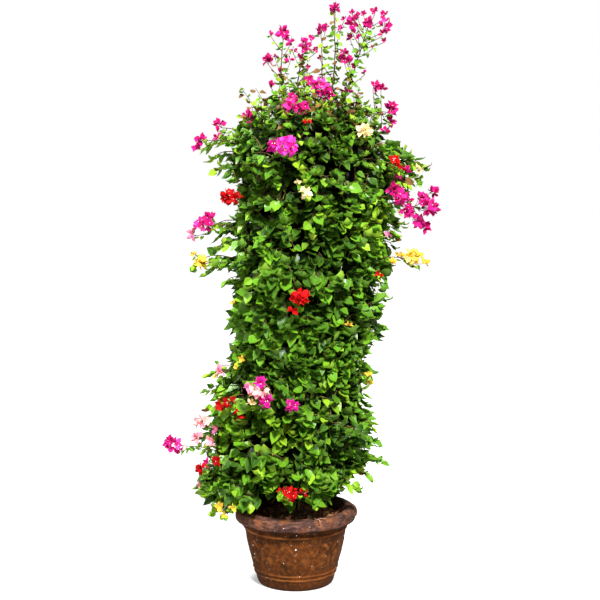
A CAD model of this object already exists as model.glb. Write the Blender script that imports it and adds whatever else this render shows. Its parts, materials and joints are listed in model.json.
# The looks of a potted bougainvillea, trained as a tall leafy column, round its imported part.
# Metres, +Z up. The front faces -Y. Azimuths are about the column's middle, 0 at the front.

import json
import math
import random

import bmesh
import bpy
import numpy as np
from mathutils import Matrix, Vector, noise


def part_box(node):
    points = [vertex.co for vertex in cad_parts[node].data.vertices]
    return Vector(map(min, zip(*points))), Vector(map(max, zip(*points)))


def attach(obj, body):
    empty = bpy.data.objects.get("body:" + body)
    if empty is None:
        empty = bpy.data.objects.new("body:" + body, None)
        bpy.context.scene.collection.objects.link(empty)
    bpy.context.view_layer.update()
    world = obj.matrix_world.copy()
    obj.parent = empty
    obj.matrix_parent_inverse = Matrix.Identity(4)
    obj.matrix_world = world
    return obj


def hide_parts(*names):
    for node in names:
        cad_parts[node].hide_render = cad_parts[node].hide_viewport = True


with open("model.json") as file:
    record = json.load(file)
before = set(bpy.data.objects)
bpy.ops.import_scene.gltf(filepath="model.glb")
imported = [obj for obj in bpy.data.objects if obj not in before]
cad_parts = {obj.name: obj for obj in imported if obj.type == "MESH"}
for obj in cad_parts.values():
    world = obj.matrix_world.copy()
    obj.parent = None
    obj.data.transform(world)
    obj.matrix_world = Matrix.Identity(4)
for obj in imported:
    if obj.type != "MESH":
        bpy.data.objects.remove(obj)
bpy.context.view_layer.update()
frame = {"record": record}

SEED = 11
UP = Vector((0, 0, 1))
GOLDEN_ANGLE = math.pi * (3 - math.sqrt(5))

# Outline of the leaf column: height, middle's distance to the right, half width
COLUMN = (
    (0.28, -0.200, 0.140),
    (0.36, -0.100, 0.240),
    (0.46, -0.065, 0.310),
    (0.60, -0.025, 0.320),
    (0.78, -0.015, 0.310),
    (0.88, 0.005, 0.270),
    (0.98, 0.033, 0.268),
    (1.14, 0.044, 0.294),
    (1.28, 0.040, 0.315),
    (1.42, 0.070, 0.320),
    (1.56, 0.080, 0.335),
    (1.68, 0.070, 0.355),
    (1.80, 0.060, 0.300),
    (1.88, 0.058, 0.235),
    (1.97, 0.070, 0.160),
)
COLUMN_DEPTH = 0.88  # half depth over half width
COLUMN_SHOULDER = 1.80  # height from which it narrows to its top
STEM_LEVELS = (0.530, 0.915, 1.300, 1.670)
STEMS_A_LEVEL = 3

# Pot
POT_STEPS = 168
WALL_STEPS = 76
POT_HEIGHT = 0.308
POT_BASE_RADIUS = 0.150
POT_SHOULDER_RADIUS = 0.210
SHOULDER_HEIGHT = 0.258
COLLAR_RADIUS = 0.245
COLLAR_WIDTH = 0.024
COLLAR_CREST = 0.025  # how far from its top down the collar neither rises nor sinks
COLLAR_LIFT = 1.3  # how far it does so lower down, over how far it wanders out and in
MOUTH_RADIUS = 0.203
POT_WALL = 0.020
POT_BULGE = 0.005  # of its wall, half way up
POT_FLOOR = 0.028
# Turns of its outline at the foot: out of the base's radius, and height
POT_FOOT = ((-0.006, 0.0), (-0.0015, 0.0015), (0.001, 0.006))
WALL_START = 0.010
WALL_END = 0.004  # below the shoulder
# Under the collar: out of the shoulder's radius, and height
UNDER_COLLAR = ((0.001, 0.2590), (0.009, 0.2602), (0.020, 0.2610), (0.029, 0.2620))
# Up the collar's side: in from the collar's radius, and height
COLLAR_SIDE = (
    (0.005, 0.2640),
    (0.001, 0.2680),
    (-0.0005, 0.2760),
    (0.0, 0.2860),
    (0.0015, 0.2930),
    (0.006, 0.2985),
    (0.013, 0.3025),
    (0.022, 0.3055),
    (0.031, 0.3075),
)
# Over the top and into the mouth: out of the mouth's radius, and height
COLLAR_MOUTH = ((0.005, POT_HEIGHT), (0.001, 0.3065), (-0.001, 0.3020), (-0.003, 0.2950), (-0.008, 0.2800))
COLLAR_WAVE = 0.005
COLLAR_WAVES = ((0.5, 3, 0.6), (0.3, 7, 2.0), (0.2, 11, 0.0))  # share, number round the pot, start
COLLAR_LOW_EDGE = 0.2615
FOLD_START = math.radians(-165)  # where the collar sags at the front left, turned from +X
FOLD_END = math.radians(-80)
FOLD_DROP = 0.006
DRAIN_RADIUS = 0.011
DRAIN_CIRCLE = 0.075
DRAIN_COUNT = 3
# Raised bands round the wall: height, half height and rise
BANDS = ((0.230, 0.0060, 0.0048), (0.064, 0.0045, 0.0034), (0.046, 0.0045, 0.0036))
ARCH_COUNT = 16
ARCH_RISE = 0.0027
ARCH_ROW = (0.074, 0.218)  # heights of the row's foot and top
ARCH_TOP = 0.192  # height of an arch's line at its middle
ARCH_DROP = 0.050  # and how much lower it is at its sides
ARCH_LINE = 0.007
CHIP_SCALE = 34
CHIP_THRESHOLD = 0.14  # strength of the noise where a chip starts
CHIP_DEPTH = 0.0132
GROOVE_DEPTH = 0.0012

# Soil
SOIL_STEPS = 150
SOIL_TOP = 0.262
SOIL_GAP = 0.0006
SOIL_RELIEF = 0.005
SOIL_RINGS = 34
SOIL_BEVEL = 0.006
LITTER_EDGE = 0.012
# On the soil: kind, number, lift and range of sizes
LITTER = (
    ("crumbs", 620, 0.001, (0.35, 1.0)),
    ("chips", 150, 0.003, (0.4, 1.1)),
    ("dry leaves", 34, 0.004, (0.026, 0.040)),
)
CRUMB_SIZES = ((0.0060, 0.0050, 0.0036), (0.0045, 0.0055, 0.0040), (0.0072, 0.0048, 0.0040))
LARGEST_CRUMB = 1.7
# The twig over the rim and its fork: points, and the radii at its two ends
DRY_TWIGS = (
    (
        (
            (0.010, -0.120, 0.268),
            (0.052, -0.160, 0.281),
            (0.078, -0.196, 0.304),
            (0.092, -0.222, 0.3105),
            (0.096, -0.238, 0.303),
        ),
        0.0030,
        0.0016,
    ),
    (((0.078, -0.196, 0.304), (0.102, -0.206, 0.312), (0.118, -0.214, 0.3125)), 0.0018, 0.0009),
)

# Canes
CANE_FOOT_HEIGHT = 0.262
CANE_FOOT_CIRCLE = 0.026
CANE_RADII = (0.0140, 0.0060)
CANE_BELLY = 0.018
CANE_TWIST = math.radians(150)
CANE_POINTS = 46
CANE_KNOTS = 0.002
CROWN_HALF_SIZE = (0.058, 0.052, 0.055)
CROWN_HEIGHT = 0.245

# Foliage
# Modelled blades, in their own lengths. Rows: place along and half width. Forms: fold and bend in
# degrees, and ripple. Shares: how much of the bend each row takes
LEAF = {
    "rows": ((0.0, 0.0), (0.09, 0.30), (0.33, 0.42), (0.68, 0.27), (1.0, 0.0)),
    "columns": 4,
    "forms": ((22, 10, 0.03), (34, 16, 0.045), (13, 22, 0.04), (42, 8, 0.02), (28, 27, 0.06)),
    "shares": (-0.4, -1.0, -1.6, -1.8),
    "thickness": 0.010,
    "stalk": 0.22,
}
INNER_LEAF = {
    "rows": ((0.0, 0.0), (0.22, 0.36), (0.62, 0.31), (1.0, 0.0)),
    "columns": 2,
    "forms": ((20, 2, 0.0),),
    "shares": (-3, -7, -8),
    "thickness": 0.010,
}
BRACT = {
    "rows": ((0.0, 0.06), (0.26, 0.33), (0.60, 0.34), (1.0, 0.0)),
    "columns": 4,
    "forms": ((14, 8, 0.05), (22, 14, 0.07), (8, -6, 0.09)),
    "shares": (1.0, -0.6, -1.8),
    "thickness": 0.014,
}
LEAF_LENGTHS = (0.059, 0.039)  # at a shoot's foot and at its tip
LEAF_REACH = 1.2  # how far a leaf reaches with its stalk, in lengths
LEAF_TONES = 0.31  # how much the leaves at one place differ in tone
# How strongly a leaf hangs down, outwards and to its side, and how its upper side turns
LEAF_DOWN = (0.35, 1.35)
LEAF_OUT = (0.0, 0.55)
LEAF_ASIDE = (0.2, 0.8)
FACING_OUT = (0.7, 1.2)
FACING_UP = (0.0, 0.50)
FACING_SHAKE = 0.46
SHOOTS_A_STEM = 70
SHOOT_STEP = 0.022
SHOOT_LENGTH = (0.07, 0.22)
SHOOT_WEIGHT = (0.15, 0.40)
SHOOT_SHAKE = 0.14
SHOOT_REACH = (0.60, 0.80)  # where it starts, as a share of the column's half width
SHOOT_LIMITS = (0.73, 0.95)  # how far out it reaches, the same way
NARROW_FROM = 1.76  # height from which shoots are held in more, to these shares on the left and right
NARROW_LEFT = 0.68
NARROW_RIGHT = 0.86
LUMPS = 0.30  # how far the bush swells and sinks, as a share of its half width
LUMP_SCALE = 6.5
LEAF_EVERY = 0.0170
LOW_LEAVES = 1.20  # how large the leaves are near the foot, and high up
HIGH_LEAVES = 0.96
LOW_LEAVES_TO = 1.10  # height up to which they are that large, and over which they shrink
LEAVES_SHRINK_OVER = 0.65
YOUNG_FROM = 1.70  # height from which shoots are young, and over which they get so
YOUNG_OVER = 0.18
YOUNG_SMALLER = 0.15
YOUNG_PALER = 0.06
YOUNG_BRONZE = 0.12
DROOP = 0.9  # of an old shoot's leaves
YOUNG_DROOP = 0.4
# Tone of a shoot's leaves at its foot: its usual value, its drift over the bush, its chance and how much
# it changes to the tip. One shoot in a few is paler
SHOOT_TONE = 0.24
TONE_DRIFT = 0.40
TONE_DRIFT_SCALE = 3.2
TONE_CHANCE = 0.16
TONE_TO_TIP = 0.28
PALE_SHOOTS = 0.12
PALE_SHOOT = 0.25
LIGHTWARD = Vector((0.10, -0.50, 0.20))  # what turns the leaves to the light in front of the plant
INNER_TWIGS = 60
INNER_LENGTH = (0.10, 0.24)
INNER_REACH = (0.34, 0.60)
INNER_LIMIT = 0.72
HUBS_A_STEM = 9
HUB_REACH = (0.50, 0.62)
HUB_CLIMB = 0.12  # from its fork on a cane
FOLIAGE_TOP = 1.86
FOLIAGE_FOOT = 0.36
FRONT_FOOT = 0.42  # at the front, where the soil shows
FRONT_DEPTH = 0.10
FRONT_HALF = 0.15
CROWN_FOOT = 1.86  # above it leaves stand all round their shoots
TRAILING_FOOT = 0.29  # of what hangs past the pot's left side
TRAILING_SIDE = -0.21
CROWN_SHOOTS = 50
CROWN_START = 1.80
CROWN_REACH = 0.86
CROWN_LENGTH = (0.14, 0.27)
CROWN_HALF_WIDTH = 0.28
CROWN_ROUND = 0.75  # how much shorter they are at its edge
# How far leaves keep off the pot: over its top, beside its collar, inside its mouth and over the soil
CLEAR_OVER = 0.004
CLEAR_BESIDE = 0.008
CLEAR_INSIDE = 0.012
CLEAR_SOIL = 0.008
SIDE_FOOT = (0.40, 1.84)  # heights between which side shoots start
SIDE_REACH = 0.58
# Radii of each kind of twig at its foot and tip
TWIG_RADII = {
    "hub": (0.0046, 0.0030),
    "shoot": (0.0024, 0.0010),
    "side": (0.0028, 0.0011),
    "crown": (0.0020, 0.0010),
    "bloom": (0.0026, 0.0014),
    "small bloom": (0.0017, 0.0012),
    "spray": (0.0036, 0.0016),
    "stalk": (0.0011, 0.0007),
}
# Leaves of each kind of twig: spacing, lengths at its foot and tip, tones there, and what else differs.
# Bare is the share of the twig that carries none, bronze the share of red ones at its tip
LEAVES = {
    "inner": {"every": 0.015, "lengths": (0.078, 0.062), "kind": "inner leaves"},
    "side": {"every": 0.0120, "lengths": (0.058, 0.042), "bare": 0.25, "bronze": 0.04},
    "crown": {"every": 0.0112, "lengths": (0.046, 0.028), "bare": 0.2, "droop": 0.7, "bronze": 0.35},
    "bloom": {"every": 0.022, "lengths": (0.050, 0.030), "tones": (0.40, 0.80), "bare": 0.25},
    "small bloom": {"every": 0.016, "lengths": (0.034, 0.026), "tones": (0.50, 0.85), "bare": 0.1},
    "spray": {
        "every": 0.0115,
        "lengths": (0.050, 0.030),
        "tones": (0.38, 0.78),
        "bare": 0.22,
        "droop": 1.3,
        "bronze": 0.25,
    },
    "spray twig": {
        "every": 0.026,
        "lengths": (0.028, 0.022),
        "tones": (0.5, 0.8),
        "bare": 0.1,
        "droop": 1.3,
        "bronze": 0.3,
    },
}
# Gaps between the outer shoots, where the twigs and shaded leaves inside show: middle and radius
HOLLOWS = (
    ((-0.127, -0.235, 1.577), 0.042),
    ((0.201, -0.290, 1.642), 0.036),
    ((0.271, -0.250, 1.605), 0.034),
    ((0.059, -0.290, 1.500), 0.040),
    ((-0.250, -0.120, 1.319), 0.036),
    ((-0.012, -0.265, 1.219), 0.030),
    ((0.213, -0.200, 1.066), 0.042),
    ((-0.040, -0.240, 0.985), 0.044),
    ((0.010, -0.240, 1.000), 0.040),
    ((-0.001, -0.245, 0.855), 0.038),
    ((-0.090, -0.250, 0.822), 0.034),
    ((-0.180, -0.240, 0.669), 0.034),
    ((0.168, -0.200, 0.506), 0.036),
    ((-0.158, -0.236, 0.419), 0.040),
    # back
    ((-0.080, 0.280, 1.380), 0.045),
    ((0.160, 0.240, 0.840), 0.045),
)
# Tips of the leafy side shoots that stand out of the column
SIDE_SHOOTS = (
    # left, from the top down
    (-0.120, 0.000, 1.885),
    (-0.205, 0.000, 1.790),
    (-0.248, -0.020, 1.768),
    (-0.330, 0.000, 1.735),
    (-0.335, 0.030, 1.680),
    (-0.305, -0.030, 1.645),
    (-0.330, 0.020, 1.420),
    (-0.300, 0.020, 1.385),
    (-0.318, -0.020, 1.330),
    (-0.290, 0.000, 1.275),
    (-0.385, -0.020, 1.275),
    (-0.350, 0.030, 1.245),
    (-0.270, -0.060, 1.215),
    (-0.330, -0.020, 0.845),
    (-0.350, 0.020, 0.770),
    (-0.340, -0.050, 0.700),
    (-0.345, -0.040, 0.440),
    (-0.360, -0.080, 0.375),
    (-0.315, -0.120, 0.310),
    # right, from the top down
    (0.272, -0.020, 1.895),
    (0.432, 0.000, 1.692),
    (0.495, -0.020, 1.655),
    (0.478, 0.020, 1.610),
    (0.466, -0.020, 1.585),
    (0.425, -0.050, 1.595),
    (0.420, 0.020, 1.430),
    (0.392, -0.030, 1.390),
    (0.385, 0.030, 1.350),
    (0.345, 0.000, 1.250),
    (0.352, -0.020, 1.140),
    (0.345, 0.030, 1.020),
    (0.305, -0.020, 0.640),
    (0.318, 0.000, 0.560),
    (0.335, -0.040, 0.490),
    (0.290, -0.060, 0.440),
    (0.238, -0.110, 0.405),
    # over the soil at the front
    (-0.040, -0.215, 0.372),
    (0.084, -0.225, 0.365),
    # back
    (0.100, 0.365, 1.620),
    (-0.120, 0.330, 1.200),
    (0.200, 0.310, 0.950),
    (-0.150, 0.340, 0.620),
)

# Blooms
BRACT_LENGTHS = (0.023, 0.034)
BRACT_OPENING = (34, 62)  # degrees
FLOWER_BRACT = 0.030  # length of the bract that the modelled flower fits
FLOWER_TUBE = (0.0006, 0.0012, 0.012)  # radii at its foot and star, and length
SPRAY_BRACTS = 0.90  # how large those on the sprays are beside the others
BLOOM_FULLNESS = 1.12  # a bloom's half sides over its node's
# Blooms whose bracts differ from the others of their slot: finish and fullness
OTHER_BLOOMS = {
    "bloom_crown_front": ("violet", 1.25),
    "bloom_low_magenta": ("violet", 1.20),
    "bloom_base_yellow": ("gold", 0.65),
    "bloom_left_red": ("red", 1.25),
    "bloom_left_magenta": ("magenta", 1.25),
    "bloom_far_left": ("magenta", 1.30),
    "bloom_right_orange": ("gold", 1.50),
    "bloom_base_red": ("red", 1.00),
}
SPRAY_FULLNESS = 1.30  # the same on the sprays
SPRAY_DARKER = 0.12  # in tone
BRACT_SPACE = 0.0122
BIG_HEAD = 0.033  # radius from which a head's bracts are paler
HEAD_TONES = (0.15, 0.45)
BIG_HEAD_TONES = (0.50, 0.70)
STAR_SHARE = 0.30  # of the bracts, whose flower is open
STAR_LEAN = 0.22
TRIO_SHAKE = 0.18
HEAD_FOOT = 0.55  # how far behind a head's middle its foot lies, in radii
HEAD_GROWTH = 1.8  # power of the radius that gives the number of trios
HEAD_ROUND = 1.5  # how far round its head they reach: 1 is half of it, 2 all of it
HEAD_REACH = (0.65, 1.0)
BLOOM_GUARD = 0.85  # radius round a bloom that leaves keep out of, over the bloom's own

# Long sprays over the column
SPRAY_POINTS = 26
SPRAY_WANDER = 0.0035
# Each one's foot and bend
SPRAYS = (
    ((-0.020, -0.020, 1.740), (-0.052, -0.012, 1.960)),
    ((0.030, 0.050, 1.750), (0.010, 0.050, 1.960)),
    ((0.110, 0.050, 1.750), (0.146, 0.030, 1.990)),
    ((0.135, 0.000, 1.740), (0.212, 0.000, 1.985)),
    ((0.075, -0.050, 1.730), (0.100, -0.048, 1.960)),
)

# Small blooms beside the larger ones: colour, middle, radius
SMALL_BLOOMS = (
    # on the sprays, from the left
    ("magenta", (-0.096, -0.010, 2.170), 0.012),
    ("magenta", (-0.020, -0.030, 2.136), 0.018),
    ("magenta", (-0.008, 0.010, 2.106), 0.016),
    ("magenta", (-0.022, -0.050, 2.064), 0.020),
    ("magenta", (-0.058, -0.040, 2.030), 0.014),
    ("magenta", (-0.096, -0.030, 1.976), 0.016),
    ("magenta", (-0.078, 0.010, 2.082), 0.012),
    ("magenta", (0.064, 0.050, 2.156), 0.016),
    ("magenta", (0.082, 0.020, 2.110), 0.015),
    ("magenta", (0.018, 0.050, 2.084), 0.018),
    ("magenta", (0.098, 0.040, 2.080), 0.013),
    ("magenta", (0.052, 0.030, 2.046), 0.012),
    ("magenta", (0.118, -0.020, 2.192), 0.016),
    ("magenta", (0.150, 0.020, 2.258), 0.020),
    ("magenta", (0.190, 0.020, 2.228), 0.012),
    ("magenta", (0.222, 0.020, 2.250), 0.016),
    ("magenta", (0.230, -0.020, 2.222), 0.017),
    ("magenta", (0.266, 0.010, 2.246), 0.014),
    ("magenta", (0.176, 0.000, 2.190), 0.014),
    ("magenta", (0.214, 0.020, 2.158), 0.017),
    ("magenta", (0.244, -0.030, 2.154), 0.014),
    ("magenta", (0.346, 0.010, 2.242), 0.020),
    ("magenta", (0.308, 0.010, 2.256), 0.020),
    ("magenta", (0.281, 0.000, 2.202), 0.019),
    ("magenta", (0.242, 0.010, 2.240), 0.016),
    ("magenta", (0.336, -0.010, 2.170), 0.017),
    ("magenta", (0.346, 0.020, 2.146), 0.012),
    ("magenta", (0.300, 0.010, 2.120), 0.010),
    ("magenta", (0.208, -0.010, 2.064), 0.020),
    ("magenta", (0.232, 0.010, 2.048), 0.020),
    ("magenta", (0.186, -0.060, 2.098), 0.014),
    ("magenta", (0.270, 0.020, 2.022), 0.012),
    # over the crown
    ("violet", (-0.082, -0.310, 1.742), 0.026),
    ("violet", (-0.018, -0.310, 1.728), 0.028),
    ("magenta", (0.200, -0.080, 1.945), 0.018),
    ("magenta", (0.050, -0.100, 1.985), 0.026),
    ("magenta", (0.122, -0.140, 1.930), 0.030),
    ("magenta", (0.310, 0.010, 1.972), 0.022),
    ("magenta", (0.340, 0.020, 1.962), 0.018),
    ("magenta", (0.028, -0.215, 1.878), 0.028),
    ("magenta", (-0.012, -0.190, 1.920), 0.016),
    ("red", (0.046, -0.262, 1.824), 0.015),
    ("magenta", (0.368, 0.010, 1.838), 0.022),
    ("magenta", (0.328, 0.000, 1.862), 0.012),
    ("magenta", (0.345, -0.020, 1.796), 0.018),
    ("magenta", (-0.182, -0.050, 1.815), 0.020),
    ("magenta", (-0.302, 0.020, 1.770), 0.020),
    ("magenta", (-0.378, -0.050, 1.728), 0.020),
    # right side
    ("magenta", (0.420, -0.100, 1.648), 0.020),
    ("cream", (0.440, 0.020, 1.668), 0.016),
    ("red", (0.398, -0.200, 1.655), 0.016),
    ("magenta", (0.366, -0.200, 1.580), 0.030),
    ("magenta", (0.420, -0.180, 1.500), 0.032),
    ("magenta", (0.386, -0.190, 1.618), 0.014),
    ("magenta", (0.535, -0.030, 1.562), 0.026),
    ("magenta", (0.496, 0.000, 1.536), 0.030),
    ("magenta", (0.535, -0.040, 1.494), 0.024),
    ("magenta", (0.476, -0.030, 1.450), 0.034),
    ("magenta", (0.506, -0.010, 1.424), 0.026),
    ("magenta", (0.446, -0.020, 1.530), 0.014),
    ("magenta", (0.452, -0.060, 1.468), 0.018),
    ("pink", (0.352, -0.180, 1.405), 0.013),
    ("gold", (0.406, -0.040, 1.312), 0.019),
    ("gold", (0.508, -0.020, 1.284), 0.019),
    ("gold", (0.376, -0.060, 1.288), 0.018),
    ("gold", (0.468, -0.030, 1.306), 0.016),
    ("red", (0.318, -0.160, 1.250), 0.014),
    ("gold", (0.292, -0.040, 1.085), 0.012),
    ("gold", (0.204, -0.190, 1.060), 0.013),
    ("gold", (0.286, -0.040, 0.845), 0.014),
    ("gold", (0.292, 0.020, 0.800), 0.018),
    # left side and front, from the top down
    ("cream", (0.010, -0.330, 1.605), 0.011),
    ("pink", (-0.398, -0.060, 1.398), 0.024),
    ("magenta", (-0.330, -0.060, 1.462), 0.026),
    ("gold", (-0.395, -0.030, 1.318), 0.014),
    ("gold", (-0.242, -0.060, 1.130), 0.012),
    ("red", (-0.010, -0.310, 1.128), 0.020),
    ("pink", (-0.290, -0.050, 0.866), 0.022),
    ("gold", (-0.206, -0.150, 0.925), 0.014),
    ("gold", (-0.226, -0.130, 0.890), 0.012),
    ("gold", (-0.310, -0.050, 0.836), 0.014),
    ("violet", (-0.132, -0.300, 0.856), 0.026),
    ("violet", (-0.108, -0.310, 0.790), 0.030),
    ("pink", (-0.176, -0.280, 0.836), 0.020),
    ("cream", (-0.166, -0.290, 0.780), 0.016),
    ("red", (-0.212, -0.220, 0.722), 0.024),
    ("red", (-0.286, -0.180, 0.748), 0.022),
    ("pink", (-0.384, -0.070, 0.600), 0.026),
    ("pink", (-0.326, -0.110, 0.596), 0.024),
    ("pink", (-0.310, -0.100, 0.640), 0.020),
    ("magenta", (-0.452, -0.080, 0.546), 0.016),
    ("magenta", (-0.496, -0.070, 0.590), 0.018),
    ("red", (-0.300, -0.170, 0.532), 0.022),
    ("magenta", (-0.344, -0.140, 0.516), 0.016),
    ("pink", (-0.374, -0.120, 0.420), 0.012),
    ("gold", (-0.240, -0.240, 0.361), 0.015),
    ("gold", (-0.274, -0.240, 0.333), 0.014),
    ("red", (-0.224, -0.155, 1.542), 0.025),
    ("red", (0.030, -0.315, 0.440), 0.017),
    ("red", (-0.052, -0.315, 0.448), 0.015),
    # back
    ("magenta", (0.140, 0.350, 1.735), 0.030),
    ("pink", (-0.110, 0.310, 1.455), 0.022),
    ("gold", (0.236, 0.230, 1.150), 0.022),
    ("pink", (-0.020, 0.310, 0.760), 0.026),
)
SPRAY_HEIGHT = 1.975  # a bloom above it grows on a spray
UPWARD_BLOOMS = 1.81  # height from which a bloom faces half upwards
CROWN_BLOOMS = 1.88  # height from which a bloom's twig starts in the crown's middle
TWIG_REACH = 0.13  # a small bloom this near to a larger one's twig grows on it
TWIG_CLIMB = 0.055  # of a bloom's twig from its spray
# A bloom's twig from the column: heights between which it starts, how far in, and the same in the crown
TWIG_FOOT = (0.40, 1.86)
TWIG_START = 0.52
CROWN_TWIG_START = 0.30

# Finishes
BLADE_COLOURS = ("Dark", "Middle", "Light", "Vein")
# Blades: those four colours and how they are finished
BLADES = {
    "leaf face": (
        ((0.020, 0.083, 0.009), (0.104, 0.286, 0.012), (0.300, 0.485, 0.022), (0.330, 0.490, 0.080)),
        {
            "veins": 0.42, "blotches": 0.06, "shade": 0.02, "roughness": 0.33, "specular": 0.42,
            "glow": (2.5, 2.6, 0.9), "through": 0.22,
        },
    ),
    "leaf underside": (
        ((0.044, 0.118, 0.012), (0.118, 0.276, 0.020), (0.350, 0.480, 0.030), (0.290, 0.430, 0.070)),
        {
            "veins": 0.35, "blotches": 0.06, "shade": 0.03, "roughness": 0.60, "specular": 0.18,
            "glow": (2.0, 2.2, 1.0), "through": 0.24,
        },
    ),
    "bronze leaf": (
        ((0.080, 0.030, 0.008), (0.150, 0.066, 0.014), (0.230, 0.130, 0.024), (0.240, 0.150, 0.040)),
        {
            "veins": 0.30, "blotches": 0.20, "shade": 0.30, "roughness": 0.50, "specular": 0.25,
            "glow": (2.0, 1.8, 1.0), "through": 0.26,
        },
    ),
    "flower": (
        ((0.80, 0.66, 0.40), (0.88, 0.80, 0.58), (0.95, 0.90, 0.76), (0.80, 0.70, 0.40)),
        {
            "veins": 0.0, "blotches": 0.2, "shade": 0.6, "roughness": 0.6, "specular": 0.3,
            "glow": (1, 1, 1), "through": 0.2,
        },
    ),
}
BRACTS = {
    "magenta": ((0.40, 0.001, 0.08), (0.66, 0.005, 0.22), (0.88, 0.080, 0.48), (0.38, 0.002, 0.12)),
    "violet": ((0.50, 0.002, 0.15), (0.71, 0.006, 0.30), (0.89, 0.100, 0.66), (0.46, 0.003, 0.18)),
    "red": ((0.28, 0.001, 0.002), (0.56, 0.002, 0.004), (0.78, 0.018, 0.020), (0.28, 0.001, 0.003)),
    "cream": ((0.86, 0.58, 0.26), (0.93, 0.77, 0.44), (0.97, 0.90, 0.68), (0.80, 0.56, 0.26)),
    "gold": ((0.80, 0.46, 0.02), (0.90, 0.66, 0.06), (0.96, 0.84, 0.26), (0.76, 0.42, 0.04)),
    "pink": ((0.80, 0.10, 0.42), (0.88, 0.36, 0.44), (0.96, 0.70, 0.62), (0.78, 0.22, 0.36)),
}
BRACT_FINISH = {
    "veins": 0.35, "blotches": 0.25, "shade": 0.60, "roughness": 0.70, "specular": 0.10,
    "glow": (1.2, 1.2, 1.2), "through": 0.38, "count": 7.0, "slant": 1.1,
}
BARKS = {  # dark and light colour, and scale
    "old bark": ((0.075, 0.042, 0.026), (0.240, 0.160, 0.100), 26.0),
    "young bark": ((0.050, 0.024, 0.009), (0.170, 0.125, 0.040), 30.0),
}
DRY_FINISHES = {  # dark and light colour
    "chip": ((0.150, 0.060, 0.026), (0.620, 0.330, 0.170)),
    "dry leaf": ((0.230, 0.090, 0.032), (0.640, 0.360, 0.160)),
}
CLAY = {
    "dark body": (0.006, 0.002, 0.001),
    "body": (0.042, 0.011, 0.0024),
    "bright body": (0.160, 0.043, 0.007),
    "dust": (0.420, 0.140, 0.030),
    "dark lip": (0.054, 0.025, 0.020),
    "lip": (0.122, 0.049, 0.029),
    "pale lip": (0.240, 0.125, 0.085),
    "streaks": (0.024, 0.011, 0.009),
    "worn": (0.400, 0.125, 0.028),
    "under the lip": (0.020, 0.008, 0.005),
    "damp foot": (0.040, 0.013, 0.005),
    "lime": (0.80, 0.74, 0.66),
}
SOIL = {"dark": (0.100, 0.032, 0.012), "middle": (0.480, 0.170, 0.060), "dust": (0.700, 0.300, 0.130)}
SMALLEST_SPECK = 0.35
SIDE_VEIN_WIDTH = 0.10
SIDE_VEIN_STRENGTH = 0.45
BLADE_RIM = 0.10
BLADE_ROUGHNESS = (-0.06, 0.10)  # range of it about a blade's own
DEEPEST_BARK = 0.35
LIP_EDGE = (0.262, 0.266)
LIP_EDGE_WAVE = 0.006
SHADE_BELOW_LIP = (0.240, 0.260)
SHADE_ON_LIP = (0.267, 0.262)
DAMP_HEIGHT = 0.050
SHADED_HEART = 0.61  # share of the column's half width up to which it is dark inside
LIT_EDGE = 0.33  # and how much further out it is fully lit
LIT_CROWN = 0.15  # how far over the column's shoulder it is fully lit, too

# Camera, as the photograph was taken
CAMERA_PLACE = (0.018, -5.1, 1.7)
CAMERA_PITCH = math.radians(6.3)
CAMERA_LENS = 78
CAMERA_SENSOR = 36
# Lights: name, place, target, size and power
LIGHTS = (
    ("key", (2.0, -7.5, 9.0), (0, 0, 1.1), 1.6, 3450),
    ("left", (-4.5, -2.5, 3.0), (0, 0, 1.1), 3.0, 150),
    ("top", (-0.5, 1.0, 6.0), (0, 0, 1.2), 3.0, 70),
)
SKY_LIGHT = 0.22
FLOOR_SIZE = 60
FLOOR_GLOW = 0.90
FLOOR_FADE = (0.5, 1.6)  # from the middle to where the paper is white
POT_SHADOW = (0.155, 0.205)
DARKEST_SHADOW = 0.35


# Modelling by hand


def take_up(obj):
    """Selects one object and nothing else, ready for an operator."""
    for other in list(bpy.context.selected_objects):
        other.select_set(False)
    obj.select_set(True)
    bpy.context.view_layer.objects.active = obj


def begin(name, finishes):
    """Names the primitive that was just added, gives it its finishes and goes into edit mode."""
    obj = bpy.context.active_object
    take_up(obj)
    obj.name = name
    for finish in finishes:
        obj.data.materials.append(FINISHES[finish])
    bpy.ops.object.mode_set(mode="EDIT")
    return obj


def edit_mesh(obj):
    bm = bmesh.from_edit_mesh(obj.data)
    bm.verts.ensure_lookup_table()
    return bm


def lines_of(obj, axis):
    """The vertices of a new grid in lines across one axis, from its low end up."""
    lines = {}
    for vert in edit_mesh(obj).verts:
        lines.setdefault(round(vert.co[axis], 4), []).append(vert.index)
    return [lines[key] for key in sorted(lines)]


def pick(obj, indices):
    """Selects just these vertices."""
    bpy.ops.mesh.select_all(action="DESELECT")
    bm = edit_mesh(obj)
    for index in indices:
        bm.verts[index].select = True
    bm.select_flush(True)
    bmesh.update_edit_mesh(obj.data)


def pick_faces(obj, test):
    """Selects just the faces that pass a test."""
    bpy.ops.mesh.select_all(action="DESELECT")
    bm = edit_mesh(obj)
    for face in bm.faces:
        if test(face):
            face.select_set(True)
    bmesh.update_edit_mesh(obj.data)


def leave_edit():
    bpy.ops.object.mode_set(mode="OBJECT")


def apply_modifier(obj, kind, **settings):
    """Adds a modifier and applies it."""
    take_up(obj)
    modifier = obj.modifiers.new(kind.title(), kind)
    for key, value in settings.items():
        setattr(modifier, key, value)
    bpy.ops.object.modifier_apply(modifier=modifier.name)


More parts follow.
